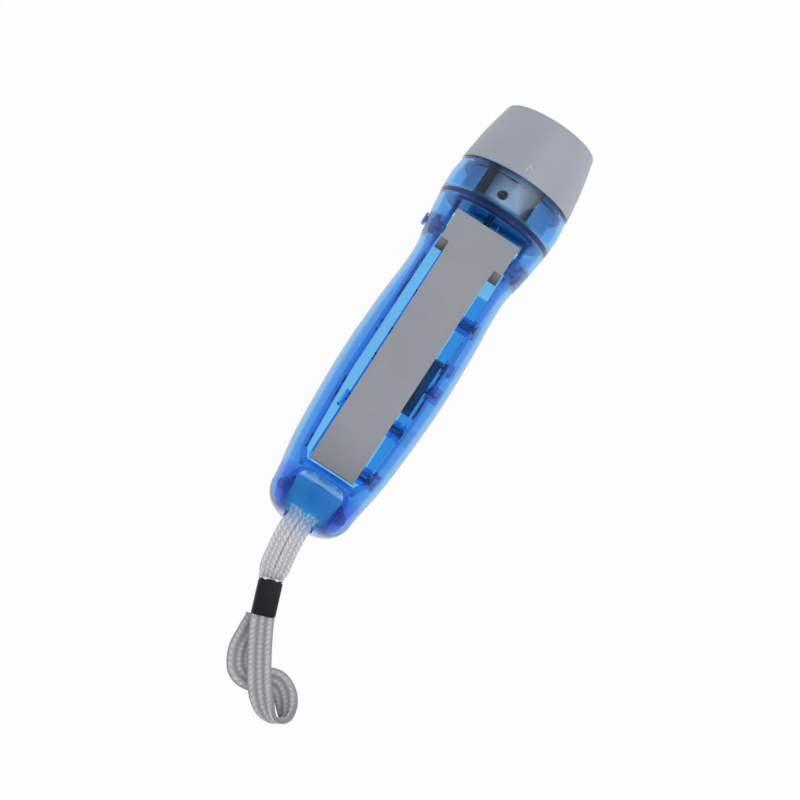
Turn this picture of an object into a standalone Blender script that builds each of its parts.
"""Hand-press dynamo torch lying on its back, lever up.

+X runs from the tail to the bezel, +Z is the lever side and y = 0 is the parting plane of the
two case halves. The torch axis is at the height of the head's radius, so the back rests on z = 0.
"""
import math
from math import acos, cos, hypot, pi, radians, sin, sqrt, tan

import bmesh
import bpy
from mathutils import Matrix, Vector

MM = 0.001

# Whole torch
TORCH_LENGTH = 142.0 * MM
HEAD_RADIUS = 19.1 * MM

# Millimetres that stretch with the torch's length, with its girth, and with the lesser of the two
ALONG = TORCH_LENGTH / 142.0
ACROSS = HEAD_RADIUS / 19.1
SNUG = min(ALONG, ACROSS)

BEZEL_LENGTH = 21.4 * ALONG
PART_GAP = 0.3 * MM
OVERRUN = 12.0 * MM
MERGE_DISTANCE = 0.001 * MM
SHARP_ANGLE = radians(35.0)
AXIS_Z = HEAD_RADIUS
TAIL_X = -TORCH_LENGTH / 2
FRONT_X = TORCH_LENGTH / 2
CASE_LENGTH = TORCH_LENGTH - BEZEL_LENGTH
CASE_FRONT_X = FRONT_X - BEZEL_LENGTH

# Case shell, its outline as shares of the head radius along the shares of the case length
CASE_WALL = 1.6 * MM
TAIL_WALL = 2.2 * ALONG
TAIL_ROUND = 7.5 * ACROSS
TAIL_ROUND_DEPTH_SHARE = 0.75
WIDTH_SHARES = (
    (0.0, 0.685), (0.08, 0.720), (0.18, 0.816), (0.29, 0.869), (0.40, 0.898), (0.48, 0.900),
    (0.59, 0.874), (0.69, 0.833), (0.75, 0.834), (0.81, 0.900), (0.88, 0.966), (0.95, 1.0),
    (1.0, 0.966),
)
TOP_SHARES = (
    (0.0, 0.62), (0.09, 0.750), (0.20, 0.800), (0.33, 0.820), (0.50, 0.825), (0.66, 0.820),
    (0.75, 0.830), (0.81, 0.880), (0.88, 0.955), (0.95, 1.0), (1.0, 0.966),
)
BACK_SHARES = (
    (0.0, 0.74), (0.09, 0.90), (0.20, 1.02), (0.33, 1.05), (0.50, 1.05), (0.60, 1.02),
    (0.68, 0.95), (0.75, 0.92), (0.81, 0.935), (0.88, 0.965), (0.95, 1.0), (1.0, 0.966),
)
GRIP_FULLNESS = 2.45
HEAD_FULLNESS = 2.0
FULLNESS_BLEND_SHARES = (0.68, 0.90)
STATION_SHARES = (
    0.0, 0.004, 0.012, 0.024, 0.040, 0.062, 0.10, 0.15, 0.20, 0.26, 0.33, 0.40, 0.48, 0.55, 0.61,
    0.66, 0.70, 0.74, 0.775, 0.81, 0.845, 0.88, 0.915, 0.95, 0.975, 1.0,
)
SECTION_STEPS = 14
CORE_STEPS = 12
NECK_RADIUS = 16.7 * ACROSS
NECK_LENGTH = 7.0 * ALONG
NECK_SHOULDER = 0.2 * MM

# Bay for the lever, a slot in the case top with walls that run down into the case
BAY_WALL = 1.2 * MM
BAY_WALL_BOTTOM = 4.2 * ACROSS
BAY_HALF_WIDTH = 11.3 * ACROSS
BAY_TAIL_HALF_WIDTH = 8.0 * ACROSS
BAY_FRONT_CLEARANCE = 3.4 * ALONG
BAY_TAIL_CLEARANCE = 0.8 * MM
BAY_TAPER_SHARES = ((1.0, 0.0), (0.96, 0.55), (0.80, 0.80), (0.64, 1.0))

# Lever, pressed home and latched
PIVOT_FROM_FRONT = 45.0 * ALONG
PIVOT_HEIGHT = 8.0 * ACROSS
LEVER_TOP = 15.4 * ACROSS
LEVER_PLATE = 1.8 * MM
LEVER_FRONT_REACH = 6.0 * ALONG
LEVER_TAIL_REACH = 80.4 * ALONG
LEVER_HEAD_HALF = 10.8 * ACROSS
LEVER_HEAD_LENGTH = 13.4 * ALONG
LEVER_NOTCH_LENGTH = 3.4 * ALONG
BLADE_FRONT_HALF = 7.8 * ACROSS
BLADE_TAIL_HALF = 7.45 * ACROSS
BLADE_SKIRT_DEPTH = 3.6 * ACROSS
BLADE_SKIRT_WALL = 1.5 * MM
BLADE_SKIRT_INSET = 0.35 * MM
BLADE_TIP_LENGTH = 9.0 * ALONG
BLADE_TIP_DROP = 1.3 * ACROSS
EAR_WALL = 1.9 * MM
EAR_INSET = 0.5 * MM
EAR_RADIUS = 3.1 * ACROSS
EAR_ARC = (200.0, 340.0)
BLADE_TIP_OVERRUN = 3.0 * ALONG
LEVER_RAMP_RUN = 4.0 * MM
LEVER_RAMP_START = 0.63 * MM
LEVER_RAMP_END = 3.04 * MM

# Pins, shafts and the bosses that carry them
PIN_RADIUS = 1.2 * MM
SHAFT_RADIUS = 1.0 * MM
BORE_CLEARANCE = 0.3 * MM
BOSS_RADIUS = 2.6 * SNUG
PIVOT_BOSS_RADIUS = 3.2 * MM
FACE_GAP = 0.5 * MM

# Gear train, modules and tooth counts from the lever to the flywheel
SECTOR_MODULE = 0.8 * SNUG
SECTOR_TEETH = 45
SECTOR_FIRST_TOOTH = 3
SECTOR_TOOTH_COUNT = 6
DRIVE_PINION_TEETH = 10
DRIVE_MODULE = 0.6 * SNUG
WHEEL_TEETH = 36
PINION_TEETH = 10
ROTOR_MODULE = 0.5 * SNUG
DRIVE_BEARING = 30.0
CLUTCH_BEARING = 14.3
ROTOR_BEARING = -29.9
PRESSURE_ANGLE = radians(20.0)
ADDENDUM_SHARE = 0.78
DEDENDUM_SHARE = 1.22
BACKLASH_SHARE = 0.25
SECTOR_NEAR_Y = 1.6 * ACROSS
SECTOR_WIDTH = 4.0 * ACROSS
SECTOR_HUB_RADIUS = 3.1 * ACROSS
SECTOR_ARM_GAP = 0.3 * MM
SECTOR_ARM_REACH = 17.5 * SNUG
SECTOR_RIM = 1.9 * SNUG
SECTOR_WINDOW_RADIUS = 2.6 * SNUG
SECTOR_WINDOW_SHARE = 0.56
SECTOR_END_SHARE = 0.6
SECTOR_HUB_ARC = (300.0, 380.0)
DRIVE_WHEEL_NEAR_Y = -1.2 * ACROSS
DRIVE_WHEEL_WIDTH = 2.4 * ACROSS
WHEEL_HOLE_RADIUS = 2.0 * SNUG
WHEEL_HOLE_SHARE = 0.62
WHEEL_HOLES = 5
CLUTCH_WHEEL_NEAR_Y = -5.2 * ACROSS
CLUTCH_WHEEL_WIDTH = 2.2 * ACROSS
RATCHET_RADIUS = 6.2 * SNUG
RATCHET_TOOTH = 0.8 * SNUG
RATCHET_TEETH = 12
RATCHET_DEPTH = 1.3 * ACROSS
RATCHET_TOOTH_SHARE = 0.9
PAWL_THICKNESS = 0.8 * ACROSS
PAWL_HUB_RADIUS = 2.2 * SNUG
PAWL_TIP_RADIUS = 4.9 * SNUG
PAWL_ARMS = 3
PAWL_OUTER_SHARES = ((0.0, 0.0), (22.0, 0.6), (48.0, 1.0), (74.0, 1.0))
PAWL_INNER_SHARES = ((72.0, 1.0), (52.0, 1.0), (44.0, 0.0), (80.0, 0.0))

# Generator
DISC_RADIUS = 9.6 * SNUG
DISC_NEAR_Y = -10.4 * ACROSS
DISC_WIDTH = 4.2 * ACROSS
DISC_RIM = 2.4 * SNUG
DISC_DISH = 1.3 * ACROSS
MAGNET_RADIUS = 5.8 * SNUG
MAGNET_NEAR_Y = -2.2 * ACROSS
MAGNET_WIDTH = 5.6 * ACROSS
MAGNET_CHAMFER = 0.5 * MM
AIR_GAP = 0.6 * MM
STATOR_WIDTH = 3.4 * ACROSS
STATOR_ARM = 2.6 * SNUG
STATOR_REACH = 19.5 * SNUG
STATOR_TIP_REACH = 3.2 * SNUG
STATOR_LIMB = 2.8 * SNUG
STATOR_POLE_END = 140.0
BOBBIN_FLANGE_WALL = 0.9 * MM
BOBBIN_CORE_WALL = 0.7 * MM
BOBBIN_FLANGE_LEDGE = 0.35 * MM
WINDING_THICKNESS = 0.8 * SNUG
WINDING_RIDGE = 0.25 * MM
WINDING_ROWS = 5
STATOR_POST_RADIUS = 1.7 * SNUG

# Inner wall of the left half under the blade's edge, which carries the train's left ends
RIB_NEAR_Y = 7.2 * ACROSS
RIB_WALL = 1.2 * ACROSS
RIB_FROM_TAIL = 20.0 * ALONG

# Screws that hold the case halves together, seen from the right side
SCREW_SHANK_RADIUS = 1.1 * SNUG
SCREW_HEAD_RADIUS = 2.3 * SNUG
SCREW_HEAD_HEIGHT = 1.3 * MM
SCREW_LENGTH = 20.0 * ACROSS
SCREW_BOSS_RADIUS = 2.9 * SNUG
SCREW_SUNK = 1.6 * MM
SCREW_EDGE = 0.3 * MM
SCREW_RECESS = 0.7 * MM
SCREW_BOSS_CAP = 1.0 * MM
SCREW_TAIL_FROM_TAIL = 23.0 * ALONG
SCREW_MID_BEHIND_ROTOR = 13.1 * SNUG
SCREW_FRONT_FROM_TAIL = 102.5 * ALONG
SCREW_TAIL_HEIGHT = -4.0 * ACROSS
SCREW_FRONT_HEIGHT = -9.5 * ACROSS

# Bulkhead behind the lamp and the strap chamber's wall
BULKHEAD_FROM_FRONT = 33.8 * ALONG
BULKHEAD_WALL = 1.6 * ALONG
LEAD_PORT_SIDE = 1.35 * ACROSS
LEAD_PORT_DROP = 1.4 * ACROSS
LEAD_PORT_HALF = 2.6 * ACROSS
LEAD_PORT_HEIGHT = 4.0 * ACROSS
CHAMBER_LENGTH = 11.6 * ALONG
CHAMBER_HALF_WIDTH = 7.5 * ACROSS
CHAMBER_WALL = 1.5 * MM
CHAMBER_START_SHARE = 0.8
STRAP_MOUTH_HALF_WIDTH = 4.95 * ACROSS
STRAP_MOUTH_DROP = 2.6 * ACROSS
STRAP_MOUTH_DEPTH = 2.9 * ALONG
STRAP_POST_RADIUS = 1.5 * MM
STRAP_POST_FROM_TAIL = 6.9 * ALONG
STRAP_POST_TURN = 12.9
TAIL_PILLAR_RADIUS = 1.9 * ACROSS
TAIL_PILLAR_SIDE = 8.9 * ACROSS

# Lamp housing, carrier, board and lamps
HOUSING_RADIUS = 14.5 * ACROSS
HOUSING_WALL = 1.2 * MM
HOUSING_LENGTH = 18.6 * ALONG
HOUSING_WINDOW_LEFT = 9.9 * ACROSS
HOUSING_WINDOW_RIGHT = 7.9 * ACROSS
HOUSING_WINDOW_FLOOR = 4.0 * ACROSS
HOUSING_WINDOW_MARGIN = 2.4 * ALONG
CARRIER_RADIUS = 7.25 * ACROSS
CARRIER_WALL = 1.1 * MM
CARRIER_LENGTH = 20.6 * ALONG
CARRIER_PEEP_RADIUS = 1.6 * ACROSS
CARRIER_PEEP_ALONG = 4.4 * ALONG
CARRIER_PEEP_SIDE = 2.2 * ACROSS
CARRIER_SPLIT_WIDTH = 0.5 * MM
CARRIER_SPLIT_DEPTH = 0.5 * MM
CARRIER_NOTCH_SIDES = (-4.6, -2.2, 2.2, 4.6)
CARRIER_NOTCH_WIDTH = 1.2 * ACROSS
CARRIER_NOTCH_DEPTH = 1.2 * ALONG
LEAD_HOLE_RADIUS = 1.7 * ACROSS
LAMP_COUNT = 3
LAMP_RADIUS = 2.3 * SNUG
LAMP_RIM = 0.25 * MM
LAMP_RIM_HEIGHT = 1.0 * MM
LAMP_BODY = 5.6 * SNUG
LAMP_CIRCLE = 3.3 * SNUG
LAMP_BORE_CLEARANCE = 0.35 * MM
LAMP_HOLE_INNER = 2.0 * MM
LAMP_DOME_TURNS = (30.0, 60.0, 80.0)
BOARD_THICKNESS = 1.2 * MM

# Bezel, lens and reflector
BEZEL_SHARES = (
    (0.0, 0.975), (0.14, 0.962), (0.28, 0.942), (0.43, 0.922), (0.57, 0.895), (0.72, 0.862),
    (0.86, 0.828), (0.97, 0.800),
)
BEZEL_MOUTH_RADIUS = 11.8 * ACROSS
BEZEL_RIM_ROUND = 0.7 * MM
BEZEL_LIP = 2.6 * MM
BEZEL_REAR_CLEARANCE = 0.3 * MM
LENS_RADIUS = 12.6 * ACROSS
LENS_THICKNESS = 1.4 * MM
LENS_DOME = 0.5 * MM
LENS_DOME_SHARE = 0.7
REFLECTOR_WALL = 0.9 * MM
REFLECTOR_RIM = 1.1 * MM
REFLECTOR_MOUTH_RADIUS = 11.4 * ACROSS
REFLECTOR_THROAT_RADIUS = 6.2 * ACROSS
REFLECTOR_STEPS = 5

# Lock slider on the left flank, in its locked place at the front of its window
SLIDER_FROM_FRONT = 43.0 * ALONG
SLIDER_HEIGHT = -1.5 * ACROSS
SLIDER_LENGTH = 3.4 * MM
SLIDER_TALL = 3.4 * MM
SLIDER_PROUD = 0.45 * MM
SLIDER_TRAVEL = 2.0 * MM
SLIDER_STEM_LENGTH = 1.6 * MM
SLIDER_STEM_HEIGHT = 1.8 * MM
SLIDER_INNER_PLATE = 1.0 * MM
SLIDER_EDGE = 0.15 * MM
SLIDER_WINDOW_INNER = 4.0 * MM

# Return spring round the lever's pin
SPRING_WIRE = 0.45 * MM
SPRING_RADIUS = 2.4 * MM
SPRING_TURNS = 4
SPRING_PITCH = 1.35 * ACROSS
SPRING_REAR_LEG = 6.5 * SNUG
SPRING_NEAR_Y = -7.6 * ACROSS
SPRING_POINTS_PER_TURN = 9

# Leads from the coil to the lamp board
LEAD_RADIUS = 0.5 * MM
LEAD_SPACING = 1.3 * MM
LEAD_DROP = 0.85 * MM
LEAD_FROM_COIL = ((2.9, 4.3, 0.0), (5.4, 4.3, 0.1))
LEAD_ROUND_POST = ((-1.5, 4.3, 2.9), (1.6, 4.3, 2.7), (4.9, 4.1, -1.2))
LEAD_ALONG_BACK = ((18.4, 3.5, -13.4), (22.4, 2.8, -14.7), (27.9, 2.4, -14.9))
LEAD_TO_LAMP = (
    (-33.2, 2.4, -14.9), (-23.2, 2.4, -14.9), (-18.2, 2.0, -13.6), (-14.2, 1.2, -8.6),
    (-10.2, 0.8, -3.9), (-6.2, 0.7, -2.0), (-1.2, 0.7, -1.4), (8.8, 0.7, -1.0), (18.5, 0.7, -1.0),
)

# Wrist strap, a flat braid: neck round the post, crimped ferrule, hand loop on the bench,
# with x counted from the tail
NECK_WIDTH = 4.4 * MM
NECK_CRIMPED_WIDTH = 3.5 * MM
NECK_THICKNESS = 2.6 * MM
NECK_CRIMP_SHARE = 0.06
NECK_CRIMPED_POINTS = 2
NECK_POST_TURNS = (90.0, 50.0, 0.0, -50.0, -90.0)
NECK_ROUTE = (
    (-16.8, -2.5, 3.3), (-15.5, -2.0, 3.35), (-12.6, -1.25, 6.0), (-9.4, -0.65, 10.4),
    (-6.0, -0.15, 14.8), (-2.8, 0.1, 17.8), (-0.2, 0.1, 18.9), (2.0, 0.0, 19.1),
)
LOOP_WIDTH = 7.2 * MM
LOOP_THICKNESS = 2.1 * MM
LOOP_ROUTE = (
    (-27.0, -6.3, 4.6, 0.0), (-28.6, -6.9, 4.6, 0.0), (-32.4, -8.9, 4.4, 0.0),
    (-36.4, -11.2, 4.0, 0.0), (-40.6, -13.8, 3.7, 0.0), (-44.4, -16.4, 3.8, 5.0),
    (-47.6, -19.2, 4.0, 20.0), (-50.2, -22.6, 4.1, 50.0), (-51.0, -26.0, 4.1, 85.0),
    (-49.0, -28.3, 4.0, 110.0), (-46.0, -27.2, 3.2, 140.0), (-42.6, -24.2, 1.9, 168.0),
    (-41.0, -20.6, 1.25, 180.0), (-42.2, -16.9, 1.25, 180.0), (-44.4, -12.9, 1.25, 180.0),
    (-43.6, -8.9, 1.25, 180.0), (-38.8, -6.1, 1.25, 180.0), (-33.2, -5.5, 1.35, 180.0),
    (-28.8, -5.3, 1.45, 180.0), (-27.3, -4.9, 1.45, 180.0),
)
FERRULE_WIDTH = 7.4 * MM
FERRULE_LENGTH = 10.0 * MM
FERRULE_HEIGHT = 6.0 * MM
FERRULE_ROUND = 1.1 * MM
FERRULE_FROM_TAIL = 21.9 * MM
FERRULE_Y = -4.4 * MM
FERRULE_LIFT = 0.3 * MM
FERRULE_TURN = 20.2

# Facets
ROUND_STEPS = 32
SMALL_STEPS = 14
PIN_STEPS = 12
CORE_STATIONS = 18
CHAMBER_STATIONS = 6
HEAD_CORE_STEPS = 3
ARCH_STEPS = 5
EAR_STEPS = 8
HUB_STEPS = 6
POLE_STEPS = 7
LEVER_TIP_STEPS = 4
BRAID_SIDES = 8

# Places worked out from the sizes above
PIVOT_X = FRONT_X - PIVOT_FROM_FRONT
PIVOT = (PIVOT_X, PIVOT_HEIGHT)
SECTOR_PITCH = SECTOR_MODULE * SECTOR_TEETH / 2
DRIVE_PINION_PITCH = SECTOR_MODULE * DRIVE_PINION_TEETH / 2
DRIVE_WHEEL_PITCH = DRIVE_MODULE * WHEEL_TEETH / 2
CLUTCH_PINION_PITCH = DRIVE_MODULE * PINION_TEETH / 2
CLUTCH_WHEEL_PITCH = ROTOR_MODULE * WHEEL_TEETH / 2
ROTOR_PINION_PITCH = ROTOR_MODULE * PINION_TEETH / 2


def away(centre, distance, bearing):
    """Point at a distance from centre, the bearing turned in degrees from straight aft to down."""
    turn = radians(bearing)
    return (centre[0] - distance * cos(turn), centre[1] - distance * sin(turn))


DRIVE = away(PIVOT, SECTOR_PITCH + DRIVE_PINION_PITCH, DRIVE_BEARING)
CLUTCH = away(DRIVE, DRIVE_WHEEL_PITCH + CLUTCH_PINION_PITCH, CLUTCH_BEARING)
ROTOR = away(CLUTCH, CLUTCH_WHEEL_PITCH + ROTOR_PINION_PITCH, ROTOR_BEARING)
BULKHEAD_X = FRONT_X - BULKHEAD_FROM_FRONT
HOUSING_X = BULKHEAD_X + BULKHEAD_WALL + PART_GAP
CARRIER_X = HOUSING_X + HOUSING_WALL + PART_GAP
CARRIER_END_X = CARRIER_X + CARRIER_LENGTH
LENS_X = FRONT_X - BEZEL_LIP - PART_GAP - LENS_THICKNESS
REFLECTOR_END_X = LENS_X - PART_GAP
REFLECTOR_X = CARRIER_END_X + PART_GAP
HOUSING_END_X = HOUSING_X + HOUSING_LENGTH
CHAMBER_END_X = TAIL_X + TAIL_WALL + CHAMBER_LENGTH
CAVITY_TAIL_X = TAIL_X + TAIL_WALL
LEVER_FRONT_X = PIVOT_X + LEVER_FRONT_REACH
LEVER_TAIL_X = PIVOT_X - LEVER_TAIL_REACH
BAY_FRONT_X = LEVER_FRONT_X + BAY_FRONT_CLEARANCE
BAY_TAIL_X = LEVER_TAIL_X - BAY_TAIL_CLEARANCE
STATOR_NEAR_Y = MAGNET_NEAR_Y + (MAGNET_WIDTH - STATOR_WIDTH) / 2
STATOR_MID_Y = STATOR_NEAR_Y + STATOR_WIDTH / 2
STATOR_BORE = MAGNET_RADIUS + AIR_GAP
STATOR_HALF_HEIGHT = STATOR_BORE + STATOR_ARM
LIMB_X = ROTOR[0] - STATOR_REACH
COIL_HOLE_X = STATOR_LIMB / 2 + PART_GAP
COIL_HOLE_Y = STATOR_WIDTH / 2 + PART_GAP
COIL_HALF_HEIGHT = STATOR_BORE - STATOR_ARM / 2 - PART_GAP
WINDING_INNER = BOBBIN_CORE_WALL + PART_GAP
WINDING_RADIUS = WINDING_THICKNESS + hypot(COIL_HOLE_X + WINDING_INNER, COIL_HOLE_Y + WINDING_INNER)
BOBBIN_FLANGE = WINDING_RADIUS + BOBBIN_FLANGE_LEDGE
SCREWS = (
    (TAIL_X + SCREW_TAIL_FROM_TAIL, SCREW_TAIL_HEIGHT),
    (ROTOR[0] - SCREW_MID_BEHIND_ROTOR,
     ROTOR[1] - STATOR_HALF_HEIGHT - FACE_GAP - SCREW_BOSS_RADIUS),
    (TAIL_X + SCREW_FRONT_FROM_TAIL, SCREW_FRONT_HEIGHT),
)

# Colours: name, red, green, blue, roughness, metallic, opacity
FINISHES = {
    "case_blue": (0.035, 0.20, 0.62, 0.08, 0.0, 0.45),
    "lever_grey": (0.31, 0.33, 0.37, 0.45, 0.0, 1.0),
    "bezel_grey": (0.36, 0.39, 0.42, 0.40, 0.0, 1.0),
    "housing_grey": (0.25, 0.28, 0.32, 0.50, 0.0, 1.0),
    "carrier_white": (0.72, 0.74, 0.76, 0.45, 0.0, 1.0),
    "gear_white": (0.62, 0.63, 0.60, 0.40, 0.0, 1.0),
    "gear_black": (0.025, 0.027, 0.03, 0.40, 0.0, 1.0),
    "steel": (0.55, 0.56, 0.57, 0.28, 1.0, 1.0),
    "stator_iron": (0.20, 0.20, 0.21, 0.45, 1.0, 1.0),
    "magnet_black": (0.035, 0.035, 0.04, 0.55, 0.0, 1.0),
    "bobbin_black": (0.02, 0.02, 0.02, 0.50, 0.0, 1.0),
    "copper": (0.72, 0.27, 0.10, 0.30, 1.0, 1.0),
    "brass": (0.68, 0.50, 0.20, 0.30, 1.0, 1.0),
    "board_green": (0.03, 0.19, 0.07, 0.50, 0.0, 1.0),
    "lamp_clear": (0.85, 0.88, 0.90, 0.08, 0.0, 0.6),
    "lens_clear": (0.90, 0.92, 0.94, 0.05, 0.0, 0.3),
    "reflector_chrome": (0.80, 0.81, 0.83, 0.12, 1.0, 1.0),
    "lock_grey": (0.05, 0.06, 0.08, 0.45, 0.0, 1.0),
    "lead_red": (0.55, 0.03, 0.02, 0.45, 0.0, 1.0),
    "lead_black": (0.015, 0.015, 0.015, 0.45, 0.0, 1.0),
    "strap_grey": (0.42, 0.41, 0.42, 0.85, 0.0, 1.0),
    "ferrule_black": (0.03, 0.03, 0.035, 0.40, 0.0, 1.0),
}


def finish(name):
    """Principled material of one finish."""
    material = bpy.data.materials.get(name)
    if material is None:
        red, green, blue, roughness, metallic, opacity = FINISHES[name]
        material = bpy.data.materials.new(name)
        material.use_nodes = True
        shader = material.node_tree.nodes["Principled BSDF"]
        shader.inputs["Base Color"].default_value = (red, green, blue, 1.0)
        shader.inputs["Roughness"].default_value = roughness
        shader.inputs["Metallic"].default_value = metallic
        shader.inputs["Alpha"].default_value = opacity
        material.diffuse_color = (red, green, blue, opacity)
    return material


def place(bm, name, finish_name=None, origin=(0, 0, 0), parent=None):
    """Turn a bmesh in world places into an object whose origin is at the given point."""
    bmesh.ops.remove_doubles(bm, verts=bm.verts, dist=MERGE_DISTANCE)
    bmesh.ops.recalc_face_normals(bm, faces=bm.faces)
    bmesh.ops.translate(bm, verts=bm.verts, vec=-Vector(origin))
    mesh = bpy.data.meshes.new(name)
    bm.to_mesh(mesh)
    bm.free()
    mesh.shade_smooth()
    mesh.set_sharp_from_angle(angle=SHARP_ANGLE)
    thing = bpy.data.objects.new(name, mesh)
    bpy.context.scene.collection.objects.link(thing)
    thing.location = origin
    if finish_name:
        mesh.materials.append(finish(finish_name))
    if parent:
        thing.parent = parent
        thing.location = Vector(origin) - parent.location
    return thing


def guide(bm, name):
    """A cutter: never rendered, drawn as wire."""
    cutter = place(bm, name)
    cutter.hide_render = True
    cutter.display_type = "WIRE"
    return cutter


def joint_empty(name, centre, y=0.0):
    """Empty on a joint's axis that carries the pieces of one moving body."""
    empty = bpy.data.objects.new(name, None)
    empty.location = (centre[0], y, AXIS_Z + centre[1])
    bpy.context.scene.collection.objects.link(empty)
    return empty


def cut(thing, cutter, operation="DIFFERENCE"):
    """Boolean of a piece with a cutter, kept as a live modifier."""
    boolean = thing.modifiers.new(cutter.name, "BOOLEAN")
    boolean.operation = operation
    boolean.object = cutter
    boolean.solver = "EXACT"


def curve_value(table, share):
    """Smooth value at a share along a table of (share, value) rows."""
    if share <= table[0][0]:
        return table[0][1]
    if share >= table[-1][0]:
        return table[-1][1]
    row = 0
    while table[row + 1][0] < share:
        row += 1
    (left, start), (right, end) = table[row], table[row + 1]
    before = table[row - 1] if row else table[row]
    after = table[row + 2] if row + 2 < len(table) else table[row + 1]
    span = right - left
    slope_in = (end - before[1]) / (right - before[0])
    slope_out = (after[1] - start) / (after[0] - left)
    t = (share - left) / span
    return (
        start * (1 + 2 * t) * (1 - t) ** 2 + end * t * t * (3 - 2 * t)
        + span * slope_in * t * (1 - t) ** 2 + span * slope_out * t * t * (t - 1)
    )


def case_share(x):
    return (x - TAIL_X) / CASE_LENGTH


def tail_drawn_in(x, radius):
    """How far a round of the given radius at the blunt tail draws the outline in."""
    depth = min(max(x - TAIL_X, 0.0), radius)
    return radius - sqrt(radius ** 2 - (radius - depth) ** 2)


def half_width(x):
    base = curve_value(WIDTH_SHARES, case_share(x)) * HEAD_RADIUS
    return base - tail_drawn_in(x, TAIL_ROUND)


def top_height(x):
    base = curve_value(TOP_SHARES, case_share(x)) * HEAD_RADIUS
    return base - tail_drawn_in(x, TAIL_ROUND * TAIL_ROUND_DEPTH_SHARE)


def back_depth(x):
    base = curve_value(BACK_SHARES, case_share(x)) * HEAD_RADIUS
    return base - tail_drawn_in(x, TAIL_ROUND * TAIL_ROUND_DEPTH_SHARE)


def fullness(x):
    start, end = FULLNESS_BLEND_SHARES
    blend = min(max((case_share(x) - start) / (end - start), 0.0), 1.0)
    blend = blend * blend * (3 - 2 * blend)
    return GRIP_FULLNESS + (HEAD_FULLNESS - GRIP_FULLNESS) * blend


def section_point(x, inset, turn):
    """(across, height) of the case section at x; turn runs from -90 at the back to 90 on top."""
    power = 2 / fullness(x)
    across = (half_width(x) - inset) * max(cos(turn), 0.0) ** power
    if turn >= 0:
        return across, (top_height(x) - inset) * sin(turn) ** power
    depth = (back_depth(x) - inset) * (-sin(turn)) ** power
    return across, -min(depth, HEAD_RADIUS - inset)


def skin_y(x, height):
    """Distance from the parting plane to the case's outer skin at x and height."""
    tall = top_height(x) if height > 0 else back_depth(x)
    power = fullness(x)
    return half_width(x) * max(1 - (abs(height) / tall) ** power, 0.0) ** (1 / power)


def loft(rings):
    """Closed body through a list of rings of equal count."""
    bm = bmesh.new()
    loops = [[bm.verts.new(point) for point in ring] for ring in rings]
    for near, far in zip(loops, loops[1:]):
        for index, corner in enumerate(near):
            following = (index + 1) % len(near)
            bm.faces.new((corner, near[following], far[following], far[index]))
    bm.faces.new(loops[0])
    bm.faces.new(loops[-1])
    bmesh.ops.recalc_face_normals(bm, faces=bm.faces)
    bmesh.ops.triangulate(bm, faces=bm.faces)
    return bm


def prism(outline, start, end, axis="Y"):
    """Body from a closed outline pushed along an axis; an outline on Y is given as (x, height)."""
    bm = bmesh.new()
    if axis == "Y":
        corners = [bm.verts.new((x, start, AXIS_Z + height)) for x, height in outline]
        push = Vector((0, end - start, 0))
    else:
        corners = [bm.verts.new((x, y, AXIS_Z + start)) for x, y in outline]
        push = Vector((0, 0, end - start))
    face = bm.faces.new(corners)
    pushed = bmesh.ops.extrude_face_region(bm, geom=[face])
    moved = [item for item in pushed["geom"] if isinstance(item, bmesh.types.BMVert)]
    bmesh.ops.translate(bm, verts=moved, vec=push)
    return bm


def arc(centre, radius, start, end, steps):
    """Points of an arc, angles in degrees."""
    turns = [radians(start + (end - start) * step / steps) for step in range(steps + 1)]
    return [(centre[0] + radius * cos(turn), centre[1] + radius * sin(turn)) for turn in turns]


def circle(centre, radius, steps, start=0.0):
    return arc(centre, radius, start, start + 360 - 360 / steps, steps - 1)


def rod(centre, radius, start, end, steps=SMALL_STEPS):
    """Round bar along Y at (x, height)."""
    return prism(circle(centre, radius, steps), start, end)


def rods(bars):
    """Several separate round bars in one bmesh."""
    joined = bmesh.new()
    for centre, radius, start, end in bars:
        bar = rod(centre, radius, start, end)
        mesh = bpy.data.meshes.new("bar")
        bar.to_mesh(mesh)
        bar.free()
        joined.from_mesh(mesh)
        bpy.data.meshes.remove(mesh)
    return joined


def turned(profile, steps=ROUND_STEPS):
    """Body of revolution about the torch axis from a closed profile of (x, radius)."""
    bm = bmesh.new()
    corners = [bm.verts.new((x, 0, AXIS_Z + radius)) for x, radius in profile]
    edges = [bm.edges.new((a, b)) for a, b in zip(corners, corners[1:] + corners[:1])]
    bmesh.ops.spin(
        bm, geom=corners + edges, cent=(0, 0, AXIS_Z), axis=(1, 0, 0), angle=2 * pi,
        steps=steps, use_merge=True,
    )
    return bm


def turned_y(profile, centre, steps=ROUND_STEPS):
    """Body of revolution about a gear axis from a closed profile of (y, radius)."""
    bm = bmesh.new()
    corners = [bm.verts.new((centre[0] + radius, y, AXIS_Z + centre[1])) for y, radius in profile]
    edges = [bm.edges.new((a, b)) for a, b in zip(corners, corners[1:] + corners[:1])]
    bmesh.ops.spin(
        bm, geom=corners + edges, cent=(centre[0], 0, AXIS_Z + centre[1]), axis=(0, 1, 0),
        angle=2 * pi, steps=steps, use_merge=True,
    )
    return bm


def box(low, high):
    """Block between two corners; heights are from the torch axis."""
    bm = bmesh.new()
    bmesh.ops.create_cube(bm, size=1.0)
    for vert in bm.verts:
        vert.co = Vector([
            near + (far - near) * (place_share + 0.5)
            for near, far, place_share in zip(low, high, vert.co)
        ])
    bmesh.ops.translate(bm, verts=bm.verts, vec=(0, 0, AXIS_Z))
    return bm


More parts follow.
